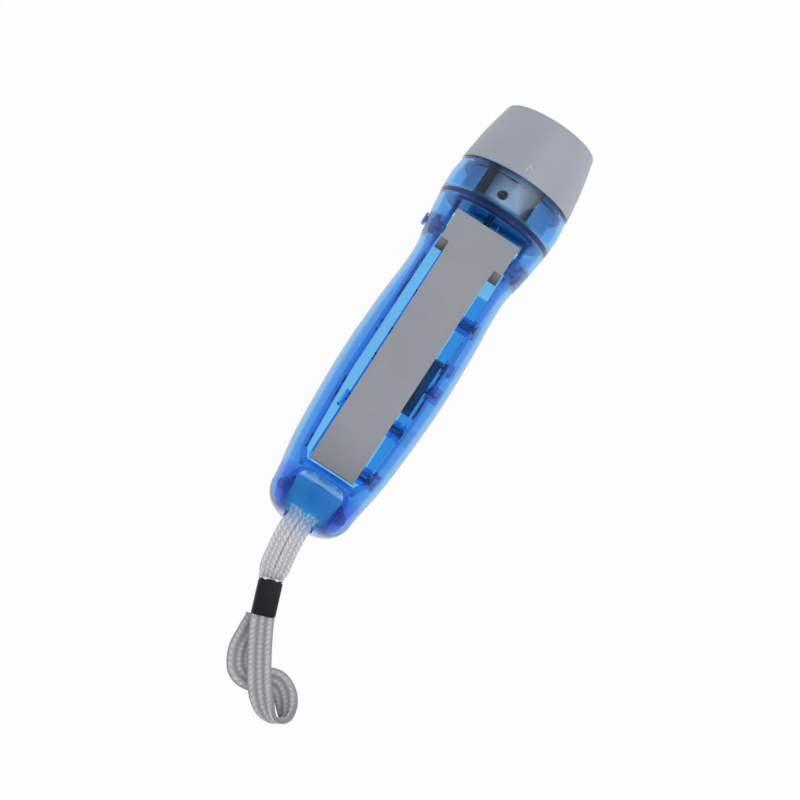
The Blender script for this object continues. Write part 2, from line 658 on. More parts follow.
def bay_outline(grow):
    """Outline of the lever bay in plan, grown outwards by a wall."""
    side = [(BAY_FRONT_X + grow, BAY_HALF_WIDTH + grow)]
    for along, across in reversed(BAY_TAPER_SHARES):
        x = PIVOT_X - (PIVOT_X - BAY_TAIL_X) * along
        y = BAY_TAIL_HALF_WIDTH + (BAY_HALF_WIDTH - BAY_TAIL_HALF_WIDTH) * across
        side.append((x - grow if along == 1.0 else x, y + grow))
    return side + [(x, -y) for x, y in reversed(side)]


def core_loft(start, end, stations, inset=CASE_WALL):
    """Mould core: the case's inside between two places along the torch."""
    turns = [radians(-90 + 180 * step / CORE_STEPS) for step in range(CORE_STEPS + 1)]
    rings = []
    for station in range(stations + 1):
        x = start + (end - start) * station / stations
        left = [section_point(x, inset, turn) for turn in turns]
        right = [(-across, height) for across, height in reversed(left[1:-1])]
        rings.append([(x, across, AXIS_Z + height) for across, height in left + right])
    return loft(rings)


def case_blank(side):
    """Outer form of one case half, solid, with its flat parting face and the bezel's neck."""
    turns = [radians(-90 + 180 * step / SECTION_STEPS) for step in range(SECTION_STEPS + 1)]
    half_gap = PART_GAP / 2
    rings = []
    for share in STATION_SHARES:
        x = TAIL_X + CASE_LENGTH * share
        ring = []
        for turn in turns:
            across, height = section_point(x, 0.0, turn)
            across = half_gap + across * (half_width(x) - half_gap) / half_width(x)
            ring.append((x, side * across, AXIS_Z + height))
        rings.append(ring)
    for x in (CASE_FRONT_X + NECK_SHOULDER, CASE_FRONT_X + NECK_LENGTH):
        rings.append([
            (x, side * (half_gap + (NECK_RADIUS - half_gap) * max(cos(turn), 0.0)),
             AXIS_Z + NECK_RADIUS * sin(turn))
            for turn in turns
        ])
    return loft(rings)


def core_cutters():
    """Cutters shared by both halves: the main core with its bay and bosses, head and chamber."""
    core = guide(core_loft(CAVITY_TAIL_X, BULKHEAD_X, CORE_STATIONS), "core_main")
    cut(core, guide(prism(bay_outline(BAY_WALL), BAY_WALL_BOTTOM, HEAD_RADIUS + OVERRUN, "Z"),
                    "core_bay"))
    far = HEAD_RADIUS + OVERRUN
    rib_far = RIB_NEAR_Y + RIB_WALL
    cut(core, guide(box((TAIL_X + RIB_FROM_TAIL, RIB_NEAR_Y, -far),
                        (BULKHEAD_X + BULKHEAD_WALL, rib_far, BAY_WALL_BOTTOM)), "core_rib"))
    cut(core, guide(prism(chamber_outline(CHAMBER_WALL), -far, far, "Z"), "core_chamber_wall"))
    for side, label in ((1, "left"), (-1, "right")):
        middle = (TAIL_X + STRAP_POST_FROM_TAIL, side * TAIL_PILLAR_SIDE)
        pillar = prism(circle(middle, TAIL_PILLAR_RADIUS, PIN_STEPS), -far, far, "Z")
        cut(core, guide(pillar, "core_pillar_" + label))
    train_left = RIB_NEAR_Y + RIB_WALL / 2
    rotor_left = MAGNET_NEAR_Y + MAGNET_WIDTH + FACE_GAP
    rotor_right = DISC_NEAR_Y - FACE_GAP
    bosses = [
        (PIVOT, PIVOT_BOSS_RADIUS, BAY_HALF_WIDTH + BAY_WALL / 2, far),
        (PIVOT, PIVOT_BOSS_RADIUS, -far, -BAY_HALF_WIDTH - BAY_WALL / 2),
        (DRIVE, BOSS_RADIUS, SECTOR_NEAR_Y + SECTOR_WIDTH + FACE_GAP, train_left),
        (DRIVE, BOSS_RADIUS, -far, DRIVE_WHEEL_NEAR_Y - FACE_GAP),
        (CLUTCH, BOSS_RADIUS, DRIVE_WHEEL_NEAR_Y + DRIVE_WHEEL_WIDTH + FACE_GAP, train_left),
        (CLUTCH, BOSS_RADIUS, -far, rotor_right),
        (ROTOR, BOSS_RADIUS, rotor_left, train_left),
        (ROTOR, BOSS_RADIUS, -far, rotor_right),
    ]
    bosses += [(centre, SCREW_BOSS_RADIUS, -far, screw_tip_y(centre) + FACE_GAP + SCREW_BOSS_CAP)
               for centre in SCREWS]
    bosses += [(centre, STATOR_POST_RADIUS, STATOR_NEAR_Y + STATOR_WIDTH + PART_GAP, train_left)
               for centre in stator_posts()]
    cut(core, guide(rods(bosses), "core_bosses"))
    start = BULKHEAD_X + BULKHEAD_WALL
    end = CASE_FRONT_X - CASE_WALL
    shell = [start + (end - start) * step / HEAD_CORE_STEPS for step in range(HEAD_CORE_STEPS + 1)]
    head = guide(turned(
        [(start, 0.0)]
        + [(x, min(half_width(x), top_height(x), back_depth(x)) - CASE_WALL) for x in shell]
        + [(end, NECK_RADIUS - CASE_WALL), (FRONT_X, NECK_RADIUS - CASE_WALL), (FRONT_X, 0.0)]
    ), "core_head")
    chamber = guide(core_loft(TAIL_X + TAIL_WALL / 2, CHAMBER_END_X + CHAMBER_WALL,
                              CHAMBER_STATIONS), "core_chamber")
    cut(chamber, guide(prism(chamber_outline(), -far, far, "Z"), "core_chamber_plan"), "INTERSECT")
    post = circle((TAIL_X + STRAP_POST_FROM_TAIL, 0.0), STRAP_POST_RADIUS, SMALL_STEPS,
                  STRAP_POST_TURN)
    cut(chamber, guide(prism(post, -far, far, "Z"), "core_strap_post"))
    mouth = guide(box(
        (TAIL_X - OVERRUN, -STRAP_MOUTH_HALF_WIDTH, -STRAP_MOUTH_DROP),
        (TAIL_X + STRAP_MOUTH_DEPTH, STRAP_MOUTH_HALF_WIDTH, far),
    ), "core_strap_mouth")
    bay = guide(prism(bay_outline(0.0), BAY_WALL_BOTTOM - PART_GAP, HEAD_RADIUS + OVERRUN, "Z"),
                "bay_slot")
    port = guide(box(
        (BULKHEAD_X - PART_GAP, LEAD_PORT_SIDE - LEAD_PORT_HALF,
         -LEAD_PORT_DROP - LEAD_PORT_HEIGHT / 2),
        (BULKHEAD_X + BULKHEAD_WALL + PART_GAP, LEAD_PORT_SIDE + LEAD_PORT_HALF,
         -LEAD_PORT_DROP + LEAD_PORT_HEIGHT / 2),
    ), "core_lead_port")
    return [core, head, chamber, mouth, bay, port]


def chamber_outline(grow=0.0):
    """Plan of the strap chamber, grown outwards by a wall: straight sides, an arched inner end."""
    start = TAIL_X + TAIL_WALL - grow
    corner = CHAMBER_HALF_WIDTH / 2
    inner = CHAMBER_END_X - corner
    arch = arc((inner, CHAMBER_HALF_WIDTH - corner), corner + grow, 90, 0, ARCH_STEPS)
    left = [(start, CHAMBER_HALF_WIDTH * CHAMBER_START_SHARE + grow)] + arch
    return left + [(x, -y) for x, y in reversed(left)]


def stator_posts():
    """Places of the two posts that carry the stator, at the roots of its arms."""
    middle = STATOR_BORE + STATOR_ARM / 2
    x = ROTOR[0] - STATOR_REACH / 2
    return [(x, ROTOR[1] + middle), (x, ROTOR[1] - middle)]


def build_case():
    """Two case halves cut by the shared cores, with shaft bores and screw holes."""
    cores = core_cutters()
    bore = SHAFT_RADIUS + BORE_CLEARANCE
    pin_bore = PIN_RADIUS + BORE_CLEARANCE
    for side, name in ((1, "case_left"), (-1, "case_right")):
        half = place(case_blank(side), name, "case_blue")
        for cutter in cores:
            cut(half, cutter)
        holes = [
            (centre, bore, 0.0, RIB_NEAR_Y + RIB_WALL + PART_GAP if side > 0 else -bearing_end(centre))
            for centre in (DRIVE, CLUTCH, ROTOR)
        ]
        holes.append((PIVOT, pin_bore, 0.0, side * bearing_end(PIVOT)))
        for centre in SCREWS:
            end = screw_tip_y(centre) + FACE_GAP if side > 0 else -skin_y(*centre) - OVERRUN
            holes.append((centre, SCREW_SHANK_RADIUS + BORE_CLEARANCE, 0.0, end))
        cut(half, guide(rods(holes), name + "_bores"))
        if side < 0:
            sinks = [(centre, SCREW_HEAD_RADIUS + BORE_CLEARANCE, -skin_y(*centre) - OVERRUN,
                      screw_seat_y(centre)) for centre in SCREWS]
            cut(half, guide(rods(sinks), "screw_sinks"))
        else:
            cut(half, guide(slider_window(), "slider_window"))


def bearing_end(centre):
    """Distance from the parting plane to the blind end of a shaft's bore."""
    return skin_y(*centre) - CASE_WALL


def shaft_ends(centre):
    """Ends of a gear shaft: blind in the right half's boss, and in the left half's inner wall."""
    return PART_GAP - bearing_end(centre), RIB_NEAR_Y + RIB_WALL - PART_GAP


def screw_seat_y(centre):
    return -skin_y(*centre) + SCREW_SUNK + SCREW_HEAD_HEIGHT


def screw_tip_y(centre):
    return screw_seat_y(centre) - PART_GAP + SCREW_LENGTH


def slider_plane():
    """Distance from the parting plane to the flank under the lock slider."""
    return skin_y(FRONT_X - SLIDER_FROM_FRONT, SLIDER_HEIGHT)


def slider_window():
    """Window for the slider's stem, as long as its travel."""
    x = FRONT_X - SLIDER_FROM_FRONT
    half_stem = SLIDER_STEM_LENGTH / 2
    tall = SLIDER_STEM_HEIGHT / 2 + PART_GAP
    near = slider_plane() - SLIDER_WINDOW_INNER
    return box(
        (x - half_stem - SLIDER_TRAVEL - PART_GAP, near, SLIDER_HEIGHT - tall),
        (x + half_stem + PART_GAP, slider_plane() + OVERRUN, SLIDER_HEIGHT + tall),
    )


def build_slider():
    """Lock slider: thumb pad outside, stem through the window, plate inside."""
    x = FRONT_X - SLIDER_FROM_FRONT
    rear = x - SLIDER_LENGTH / 2 - SLIDER_TRAVEL
    flank = [skin_y(place_x, SLIDER_HEIGHT) for place_x in (rear, x, x + SLIDER_LENGTH / 2)]
    near = max(flank) + PART_GAP
    inner = min(flank) - CASE_WALL - 2 * PART_GAP
    empty = joint_empty("slider_carrier", (x, SLIDER_HEIGHT), slider_plane())

    def block(length, tall, low, high):
        return box((x - length / 2, low, SLIDER_HEIGHT - tall / 2),
                   (x + length / 2, high, SLIDER_HEIGHT + tall / 2))

    pad = block(SLIDER_LENGTH, SLIDER_TALL, near, near + SLIDER_PROUD)
    bmesh.ops.bevel(pad, geom=list(pad.edges), offset=SLIDER_EDGE, segments=1, affect="EDGES")
    slider = place(pad, "lock_slider", "lock_grey", parent=empty)
    stem = block(SLIDER_STEM_LENGTH, SLIDER_STEM_HEIGHT, inner - SLIDER_INNER_PLATE / 2,
                 near + SLIDER_PROUD / 2)
    cut(slider, guide(stem, "slider_stem"), "UNION")
    plate = block(SLIDER_LENGTH, SLIDER_TALL, inner - SLIDER_INNER_PLATE, inner)
    cut(slider, guide(plate, "slider_plate"), "UNION")


def build_screws():
    """Three screws, their heads sunk in the right half and their tips in the left half's bosses."""
    for index, centre in enumerate(SCREWS):
        under = screw_seat_y(centre) - PART_GAP
        head = under - SCREW_HEAD_HEIGHT
        tip = screw_tip_y(centre)
        place(turned_y([
            (head + SCREW_RECESS, 0.0), (head, SCREW_RECESS), (head, SCREW_HEAD_RADIUS - SCREW_EDGE),
            (head + SCREW_EDGE, SCREW_HEAD_RADIUS), (under, SCREW_HEAD_RADIUS),
            (under, SCREW_SHANK_RADIUS), (tip - SCREW_SHANK_RADIUS, SCREW_SHANK_RADIUS), (tip, 0.0),
        ], centre, PIN_STEPS), "case_screw_%d" % (index + 1), "steel")


def lever_plan():
    """Plan outline of the lever: wide head, notched shoulders, tapering blade."""
    step_x = LEVER_FRONT_X - LEVER_HEAD_LENGTH
    side = [
        (LEVER_FRONT_X, LEVER_HEAD_HALF), (step_x, LEVER_HEAD_HALF), (step_x, BLADE_FRONT_HALF),
        (LEVER_TAIL_X, BLADE_TAIL_HALF),
    ]
    return side + [(x, -y) for x, y in reversed(side)]


def lever_side():
    """Side profile of the lever's plate, its tip dipping into the bay."""
    bend_x = LEVER_TAIL_X + BLADE_TIP_LENGTH
    top = [(LEVER_FRONT_X + OVERRUN, LEVER_TOP), (bend_x, LEVER_TOP)]
    for step in range(1, LEVER_TIP_STEPS + 1):
        share = step / LEVER_TIP_STEPS
        top.append((bend_x - (BLADE_TIP_LENGTH + BLADE_TIP_OVERRUN) * share,
                    LEVER_TOP - BLADE_TIP_DROP * share ** 2))
    return top + [(x, height - LEVER_PLATE) for x, height in reversed(top)]


def build_lever(body):
    """Lever: bent plate with side skirts and the two ears that hang on the pivot pin."""
    lever = place(prism(lever_side(), -LEVER_HEAD_HALF - OVERRUN, LEVER_HEAD_HALF + OVERRUN),
                  "lever", "lever_grey", origin=body.location, parent=body)
    plan = guide(prism(lever_plan(), 0.0, HEAD_RADIUS + OVERRUN, "Z"), "lever_plan")
    cut(lever, plan, "INTERSECT")
    step_x = LEVER_FRONT_X - LEVER_HEAD_LENGTH
    middle = LEVER_TOP - LEVER_PLATE / 2
    for side, word in ((1, "left"), (-1, "right")):
        front = BLADE_FRONT_HALF - BLADE_SKIRT_INSET
        tail = BLADE_TAIL_HALF - BLADE_SKIRT_INSET
        end_x = LEVER_TAIL_X + BLADE_TIP_LENGTH
        outline = [(step_x + EAR_INSET, front), (end_x, tail), (end_x, tail - BLADE_SKIRT_WALL),
                   (step_x + EAR_INSET, front - BLADE_SKIRT_WALL)]
        skirt = prism([(x, side * y) for x, y in outline],
                      LEVER_TOP - LEVER_PLATE - BLADE_SKIRT_DEPTH, middle, "Z")
        cut(lever, guide(skirt, "lever_skirt_" + word), "UNION")
        outer = LEVER_HEAD_HALF - EAR_INSET
        ear = [(LEVER_FRONT_X - EAR_INSET, middle), (step_x + EAR_INSET, middle)]
        ear += arc(PIVOT, EAR_RADIUS, *EAR_ARC, EAR_STEPS)
        cut(lever, guide(prism(ear, side * (outer - EAR_WALL), side * outer), "lever_ear_" + word),
            "UNION")
        ramp_x = step_x + LEVER_NOTCH_LENGTH
        ramp = [
            (step_x - OVERRUN, LEVER_TOP + OVERRUN), (ramp_x, LEVER_TOP + OVERRUN),
            (ramp_x, LEVER_TOP - LEVER_RAMP_START),
            (step_x - LEVER_RAMP_RUN, LEVER_TOP - LEVER_RAMP_END),
        ]
        notch = prism(ramp, side * (BLADE_FRONT_HALF + PART_GAP), side * (LEVER_HEAD_HALF + OVERRUN))
        cut(lever, guide(notch, "lever_notch_" + word))
    reach = LEVER_HEAD_HALF + OVERRUN
    cut(lever, guide(rod(PIVOT, PIN_RADIUS + BORE_CLEARANCE, -reach, reach), "lever_eye"))


def involute(angle):
    return tan(angle) - angle


def tooth(module, teeth, bearing):
    """Points of one gear tooth as (radius, angle), from its root over its tip to its root."""
    pitch = module * teeth / 2
    base = pitch * cos(PRESSURE_ANGLE)
    root = pitch - DEDENDUM_SHARE * module
    tip = pitch + ADDENDUM_SHARE * module
    half = pi / (2 * teeth) - BACKLASH_SHARE * module / (2 * pitch)
    points = []
    for radius in (root, pitch, tip):
        flank = acos(base / radius) if radius > base else 0.0
        points.append((radius, half + involute(PRESSURE_ANGLE) - involute(flank)))
    return [(radius, bearing - spread) for radius, spread in points] + [
        (radius, bearing + spread) for radius, spread in reversed(points)
    ]


def gear_outline(centre, module, teeth, phase):
    """Closed outline of a spur gear in the plane of the train."""
    outline = []
    for index in range(teeth):
        for radius, angle in tooth(module, teeth, phase + 2 * pi * index / teeth):
            outline.append((centre[0] + radius * cos(angle), centre[1] + radius * sin(angle)))
    return outline


def meshed_phase(bearing, driver_phase, driver_pitch, driven_pitch, module):
    """Phase of a driven gear so that it meshes with its driver along the bearing between them."""
    travel = driver_pitch * (driver_phase - bearing) + module * pi / 2
    return bearing + pi - travel / driven_pitch


def direction(start, end):
    return math.atan2(end[1] - start[1], end[0] - start[0])


SECTOR_TOOTH_STEP = 2 * pi / SECTOR_TEETH
SECTOR_PHASE = pi + SECTOR_FIRST_TOOTH * SECTOR_TOOTH_STEP
DRIVE_PHASE = meshed_phase(direction(PIVOT, DRIVE), SECTOR_PHASE, SECTOR_PITCH, DRIVE_PINION_PITCH,
                           SECTOR_MODULE)
CLUTCH_PHASE = meshed_phase(direction(DRIVE, CLUTCH), DRIVE_PHASE, DRIVE_WHEEL_PITCH,
                            CLUTCH_PINION_PITCH, DRIVE_MODULE)
ROTOR_PHASE = meshed_phase(direction(CLUTCH, ROTOR), CLUTCH_PHASE, CLUTCH_WHEEL_PITCH,
                           ROTOR_PINION_PITCH, ROTOR_MODULE)


def sector_outline():
    """Toothed sector below the lever: top arm, fan and hub round the pivot pin."""
    root = SECTOR_PITCH - DEDENDUM_SHARE * SECTOR_MODULE
    outline = []
    for index in range(SECTOR_TOOTH_COUNT):
        bearing = SECTOR_PHASE + index * SECTOR_TOOTH_STEP
        for radius, angle in tooth(SECTOR_MODULE, SECTOR_TEETH, bearing):
            outline.append((PIVOT_X + radius * cos(angle), PIVOT_HEIGHT + radius * sin(angle)))
    last = SECTOR_PHASE + (SECTOR_TOOTH_COUNT - 1 + SECTOR_END_SHARE) * SECTOR_TOOTH_STEP
    inner = root - SECTOR_RIM
    outline.append((PIVOT_X + root * cos(last), PIVOT_HEIGHT + root * sin(last)))
    outline.append((PIVOT_X + inner * cos(last), PIVOT_HEIGHT + inner * sin(last)))
    outline += arc(PIVOT, SECTOR_HUB_RADIUS, *SECTOR_HUB_ARC, HUB_STEPS)
    arm_top = LEVER_TOP - LEVER_PLATE - SECTOR_ARM_GAP
    outline.append((outline[-1][0], arm_top))
    outline.append((PIVOT_X - SECTOR_ARM_REACH, arm_top))
    first = SECTOR_PHASE - SECTOR_END_SHARE * SECTOR_TOOTH_STEP
    outline.append((PIVOT_X + root * cos(first), PIVOT_HEIGHT + root * sin(first)))
    return outline


def build_sector(body):
    sector = place(prism(sector_outline(), SECTOR_NEAR_Y, SECTOR_NEAR_Y + SECTOR_WIDTH),
                   "lever_sector", "gear_white", origin=body.location, parent=body)
    middle = SECTOR_PHASE + (SECTOR_TOOTH_COUNT - 1) / 2 * SECTOR_TOOTH_STEP
    reach = SECTOR_PITCH * SECTOR_WINDOW_SHARE
    window = (PIVOT_X + reach * cos(middle), PIVOT_HEIGHT + reach * sin(middle))
    holes = [
        (PIVOT, PIN_RADIUS + BORE_CLEARANCE, SECTOR_NEAR_Y - OVERRUN, SECTOR_NEAR_Y + OVERRUN),
        (window, SECTOR_WINDOW_RADIUS, SECTOR_NEAR_Y - OVERRUN, SECTOR_NEAR_Y + OVERRUN),
    ]
    cut(sector, guide(rods(holes), "sector_holes"))


def wheel_holes(centre, pitch, phase):
    """Ring of lightening holes and the bore of a wheel."""
    holes = [(centre, SHAFT_RADIUS + BORE_CLEARANCE, -HEAD_RADIUS, HEAD_RADIUS)]
    for index in range(WHEEL_HOLES):
        turn = phase + 2 * pi * index / WHEEL_HOLES
        reach = pitch * WHEEL_HOLE_SHARE
        holes.append(((centre[0] + reach * cos(turn), centre[1] + reach * sin(turn)),
                      WHEEL_HOLE_RADIUS, -HEAD_RADIUS, HEAD_RADIUS))
    return holes


def build_drive(body):
    """Drive gear: a small pinion under the sector, moulded on a large wheel."""
    wheel_far = DRIVE_WHEEL_NEAR_Y + DRIVE_WHEEL_WIDTH
    wheel = prism(gear_outline(DRIVE, DRIVE_MODULE, WHEEL_TEETH, DRIVE_PHASE), DRIVE_WHEEL_NEAR_Y,
                  wheel_far)
    gear = place(wheel, "drive_gear", "gear_white", origin=body.location, parent=body)
    pinion = prism(gear_outline(DRIVE, SECTOR_MODULE, DRIVE_PINION_TEETH, DRIVE_PHASE),
                   wheel_far - DRIVE_WHEEL_WIDTH / 2, SECTOR_NEAR_Y + SECTOR_WIDTH)
    cut(gear, guide(pinion, "drive_pinion"), "UNION")
    cut(gear, guide(rods(wheel_holes(DRIVE, DRIVE_WHEEL_PITCH, DRIVE_PHASE)), "drive_holes"))


def ratchet_outline():
    """Saw-toothed pocket inside the clutch wheel."""
    outline = []
    for index in range(RATCHET_TEETH):
        turn = CLUTCH_PHASE + 2 * pi * index / RATCHET_TEETH
        following = CLUTCH_PHASE + 2 * pi * (index + RATCHET_TOOTH_SHARE) / RATCHET_TEETH
        for radius, angle in ((RATCHET_RADIUS - RATCHET_TOOTH, turn), (RATCHET_RADIUS, following)):
            outline.append((CLUTCH[0] + radius * cos(angle), CLUTCH[1] + radius * sin(angle)))
    return outline


def pawl_outline():
    """Three curved spring arms round a hub, their tips lying in the ratchet teeth."""
    outline = []
    for index in range(PAWL_ARMS):
        start = CLUTCH_PHASE + 2 * pi * index / PAWL_ARMS
        for table, tip in ((PAWL_OUTER_SHARES, PAWL_TIP_RADIUS),
                           (PAWL_INNER_SHARES, PAWL_TIP_RADIUS - PAWL_THICKNESS)):
            for degrees, share in table:
                radius = PAWL_HUB_RADIUS + (tip - PAWL_HUB_RADIUS) * share
                angle = start + radians(degrees)
                outline.append((CLUTCH[0] + radius * cos(angle), CLUTCH[1] + radius * sin(angle)))
    return outline


def build_clutch(body):
    """Clutch: a ratchet wheel, and a pinion whose pawls lie in the wheel's pocket."""
    near = CLUTCH_WHEEL_NEAR_Y
    far = near + CLUTCH_WHEEL_WIDTH
    floor = far - RATCHET_DEPTH
    wheel = place(prism(gear_outline(CLUTCH, ROTOR_MODULE, WHEEL_TEETH, CLUTCH_PHASE), near, far),
                  "clutch_wheel", "gear_white", origin=body.location, parent=body)
    cut(wheel, guide(prism(ratchet_outline(), floor, far + OVERRUN), "ratchet_pocket"))
    bore = rods([(CLUTCH, SHAFT_RADIUS + BORE_CLEARANCE, -HEAD_RADIUS, HEAD_RADIUS)])
    bore_guide = guide(bore, "clutch_bore")
    cut(wheel, bore_guide)
    pinion_near = DRIVE_WHEEL_NEAR_Y
    pinion = place(prism(gear_outline(CLUTCH, DRIVE_MODULE, PINION_TEETH, CLUTCH_PHASE), pinion_near,
                         pinion_near + DRIVE_WHEEL_WIDTH),
                   "clutch_pinion", "gear_black", origin=body.location, parent=body)
    pawls = prism(pawl_outline(), floor + PART_GAP, floor + PART_GAP + PAWL_THICKNESS)
    neck = rod(CLUTCH, PAWL_HUB_RADIUS - PART_GAP, floor + PART_GAP + PAWL_THICKNESS / 2,
               pinion_near + PAWL_THICKNESS / 2)
    cut(pinion, guide(neck, "clutch_neck"), "UNION")
    cut(pinion, guide(pawls, "clutch_pawls"), "UNION")
    cut(pinion, bore_guide)


def build_rotor(body):
    """Flywheel disc, its pinion and shaft, and the ring magnet that turns with them."""
    shaft_near, shaft_far = shaft_ends(ROTOR)
    place(rod(ROTOR, SHAFT_RADIUS, shaft_near, shaft_far, PIN_STEPS), "flywheel_shaft", "steel",
          origin=body.location, parent=body)
    bore = SHAFT_RADIUS + PART_GAP
    hub = bore + DISC_RIM
    near = DISC_NEAR_Y
    far = near + DISC_WIDTH
    rim = DISC_RADIUS - DISC_RIM
    place(turned_y([
        (near, bore), (near, hub), (near + DISC_DISH, hub), (near + DISC_DISH, rim), (near, rim),
        (near, DISC_RADIUS), (far, DISC_RADIUS), (far, rim), (far - DISC_DISH, rim),
        (far - DISC_DISH, hub), (far, hub), (far, bore),
    ], ROTOR), "flywheel", "brass", origin=body.location, parent=body)
    pinion = place(prism(gear_outline(ROTOR, ROTOR_MODULE, PINION_TEETH, ROTOR_PHASE),
                         far + PART_GAP, CLUTCH_WHEEL_NEAR_Y + CLUTCH_WHEEL_WIDTH),
                   "flywheel_pinion", "gear_black", origin=body.location, parent=body)
    cut(pinion, guide(rods([(ROTOR, bore, -HEAD_RADIUS, HEAD_RADIUS)]), "rotor_bore"))
    magnet_far = MAGNET_NEAR_Y + MAGNET_WIDTH
    edge = MAGNET_RADIUS - MAGNET_CHAMFER
    place(turned_y([
        (MAGNET_NEAR_Y, bore), (MAGNET_NEAR_Y, edge), (MAGNET_NEAR_Y + MAGNET_CHAMFER, MAGNET_RADIUS),
        (magnet_far - MAGNET_CHAMFER, MAGNET_RADIUS), (magnet_far, edge), (magnet_far, bore),
    ], ROTOR), "magnet_ring", "magnet_black", origin=body.location, parent=body)


def stator_outline():
    """Iron core: two arms hugging the magnet, joined behind by the limb that carries the coil."""
    tip_angle = 90 - math.degrees(math.asin(STATOR_TIP_REACH / STATOR_BORE))
    back_x = LIMB_X - STATOR_LIMB / 2
    tip_x = ROTOR[0] + STATOR_TIP_REACH
    top = ROTOR[1] + STATOR_HALF_HEIGHT
    bottom = ROTOR[1] - STATOR_HALF_HEIGHT
    inner_x = LIMB_X + STATOR_LIMB / 2
    root_x = ROTOR[0] - STATOR_BORE
    clear_x = LIMB_X + BOBBIN_FLANGE + PART_GAP
    arm_low = STATOR_BORE - STATOR_ARM / 2
    upper = arc(ROTOR, STATOR_BORE, tip_angle, STATOR_POLE_END, POLE_STEPS)
    lower = arc(ROTOR, STATOR_BORE, 360 - STATOR_POLE_END, 360 - tip_angle, POLE_STEPS)
    reach = STATOR_BORE * sin(radians(STATOR_POLE_END))
    return (
        [(back_x, bottom), (back_x, top), (tip_x, top)] + upper
        + [(root_x, ROTOR[1] + reach), (clear_x, ROTOR[1] + arm_low), (inner_x, ROTOR[1] + arm_low)]
        + [(inner_x, ROTOR[1] - arm_low), (clear_x, ROTOR[1] - arm_low), (root_x, ROTOR[1] - reach)]
        + lower
        + [(tip_x, bottom)]
    )


def build_coil():
    """Stator core, bobbin with square flanges and the winding between them."""
    place(prism(stator_outline(), STATOR_NEAR_Y, STATOR_NEAR_Y + STATOR_WIDTH), "stator_core",
          "stator_iron")
    end = COIL_HALF_HEIGHT
    core_x = COIL_HOLE_X + BOBBIN_CORE_WALL
    core_y = COIL_HOLE_Y + BOBBIN_CORE_WALL

    def slab(half_x, half_y, low, high):
        return box((LIMB_X - half_x, STATOR_MID_Y - half_y, ROTOR[1] + low),
                   (LIMB_X + half_x, STATOR_MID_Y + half_y, ROTOR[1] + high))

    bobbin = place(slab(BOBBIN_FLANGE, BOBBIN_FLANGE, -end, -end + BOBBIN_FLANGE_WALL),
                   "coil_bobbin", "bobbin_black")
    cut(bobbin, guide(slab(BOBBIN_FLANGE, BOBBIN_FLANGE, end - BOBBIN_FLANGE_WALL, end),
                      "bobbin_flange"), "UNION")
    cut(bobbin, guide(slab(core_x, core_y, -end + BOBBIN_FLANGE_WALL / 2,
                           end - BOBBIN_FLANGE_WALL / 2), "bobbin_core"), "UNION")
    cut(bobbin, guide(slab(COIL_HOLE_X, COIL_HOLE_Y, -end - OVERRUN, end + OVERRUN), "bobbin_hole"))
    low = -end + BOBBIN_FLANGE_WALL + PART_GAP
    high = end - BOBBIN_FLANGE_WALL - PART_GAP
    rings = []
    for row in range(WINDING_ROWS * 2 + 1):
        radius = WINDING_RADIUS - (WINDING_RIDGE if row % 2 == 0 else 0.0)
        height = low + (high - low) * row / (WINDING_ROWS * 2)
        rings.append([(LIMB_X + x, STATOR_MID_Y + y, AXIS_Z + ROTOR[1] + height)
                      for x, y in circle((0.0, 0.0), radius, SMALL_STEPS)])
    winding = place(loft(rings), "coil_winding", "copper")
    hollow = slab(core_x + PART_GAP, core_y + PART_GAP, -end, end)
    cut(winding, guide(hollow, "winding_hole"))


def build_pins():
    """Fixed lever pin and gear axles, each seated at both ends."""
    pin_end = bearing_end(PIVOT) - PART_GAP
    place(rod(PIVOT, PIN_RADIUS, -pin_end, pin_end, PIN_STEPS), "lever_pin", "steel")
    for name, centre in (("drive_axle", DRIVE), ("clutch_axle", CLUTCH)):
        near, far = shaft_ends(centre)
        place(rod(centre, SHAFT_RADIUS, near, far, PIN_STEPS), name, "steel")


def tube(name, points, radius, finish_name, sides=2):
    """Round tube along points, with closed ends."""
    curve = bpy.data.curves.new(name, "CURVE")
    curve.dimensions = "3D"
    curve.bevel_depth = radius
    curve.bevel_resolution = sides
    curve.use_fill_caps = True
    spline = curve.splines.new("POLY")
    spline.points.add(len(points) - 1)
    for point, at in zip(spline.points, points):
        point.co = (*at, 1.0)
    curve.materials.append(finish(finish_name))
    thing = bpy.data.objects.new(name, curve)
    bpy.context.scene.collection.objects.link(thing)
    return thing


def smooth_route(points, per_span):
    """Points of a smooth curve through a route's own points."""
    ends = [points[0] * 2 - points[1]] + list(points) + [points[-1] * 2 - points[-2]]
    route = []
    for a, b, c, d in zip(ends, ends[1:], ends[2:], ends[3:]):
        for step in range(per_span):
            t = step / per_span
            route.append(0.5 * (
                2 * b + (c - a) * t + (2 * a - 5 * b + 4 * c - d) * t ** 2
                + (3 * b - a - 3 * c + d) * t ** 3
            ))
    route.append(points[-1])
    return route


def least_gap(points, thickness, apart):
    """Smallest clear distance between stretches of a wire that are some points apart."""
    return min(
        (first - second).length
        for index, first in enumerate(points) for second in points[index + apart:]
    ) - thickness


